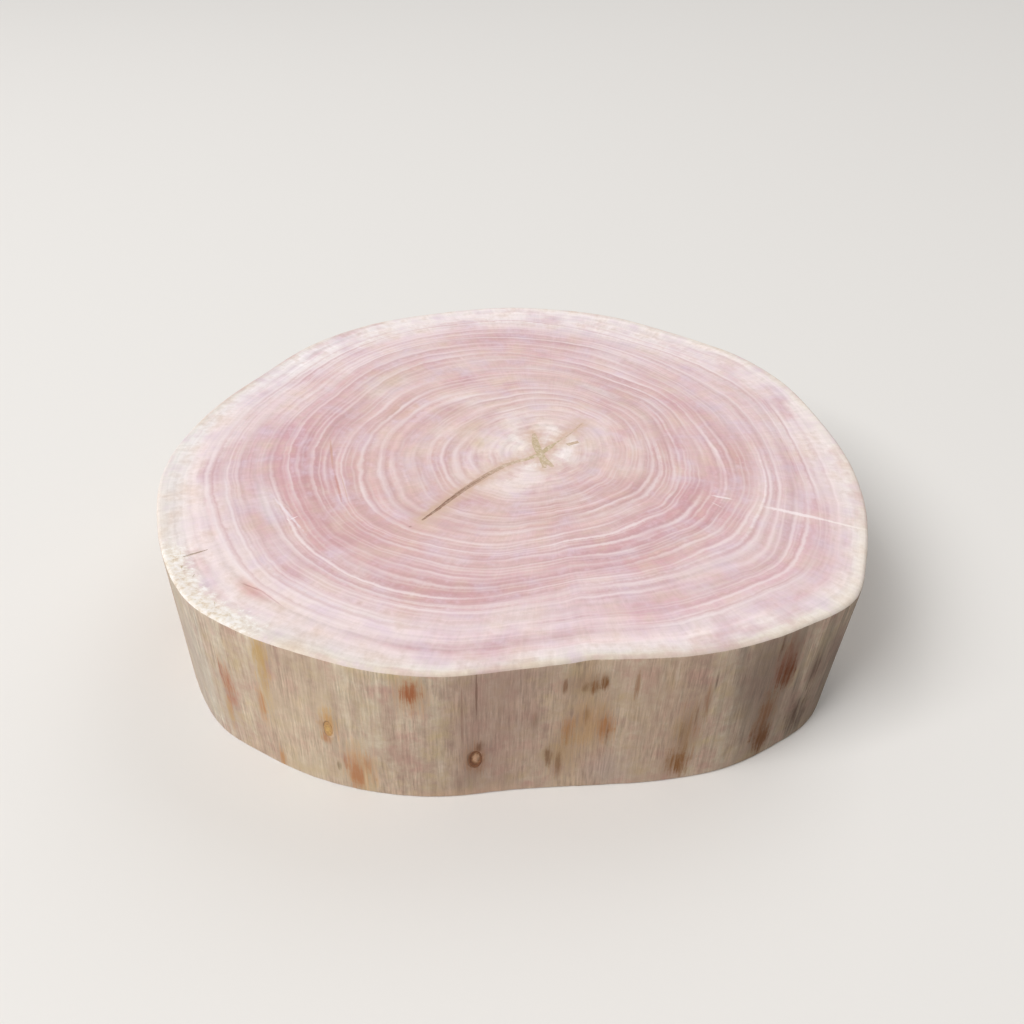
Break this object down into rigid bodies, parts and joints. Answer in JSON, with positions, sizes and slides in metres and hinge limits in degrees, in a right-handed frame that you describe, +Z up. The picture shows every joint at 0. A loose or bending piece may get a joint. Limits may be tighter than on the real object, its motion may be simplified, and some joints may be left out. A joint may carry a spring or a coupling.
{
  "type": "chopping block",
  "caption": "Thick round end-grain chopping block sawn from a debarked trunk, with filled heart checks and dead pin knots in its wall, for cutting food on.",
  "frame": {"origin": "middle of the foot, level with the surface that the block stands on", "axes": "+Z up out of the chopping face, +X along the block's longest side, -Y towards the side that the picture shows"},
  "size_m": [0.3, 0.28, 0.07],
  "materials": {
    "end_grain_wood": "raw, fine-sanded end grain in rose and cream rings, with a scraped long-grain wall",
    "check_filler": "matt glue and sawdust, scraped flush",
    "knot_wood": "matt, dark and resinous"
  },
  "bodies": {
    "root": {"wood_block": "end_grain_wood", "star_check_filler": "check_filler", "short_check_filler": "check_filler", "pin_knot_front": "knot_wood", "pin_knot_left": "knot_wood"}
  },
  "joints": []
}
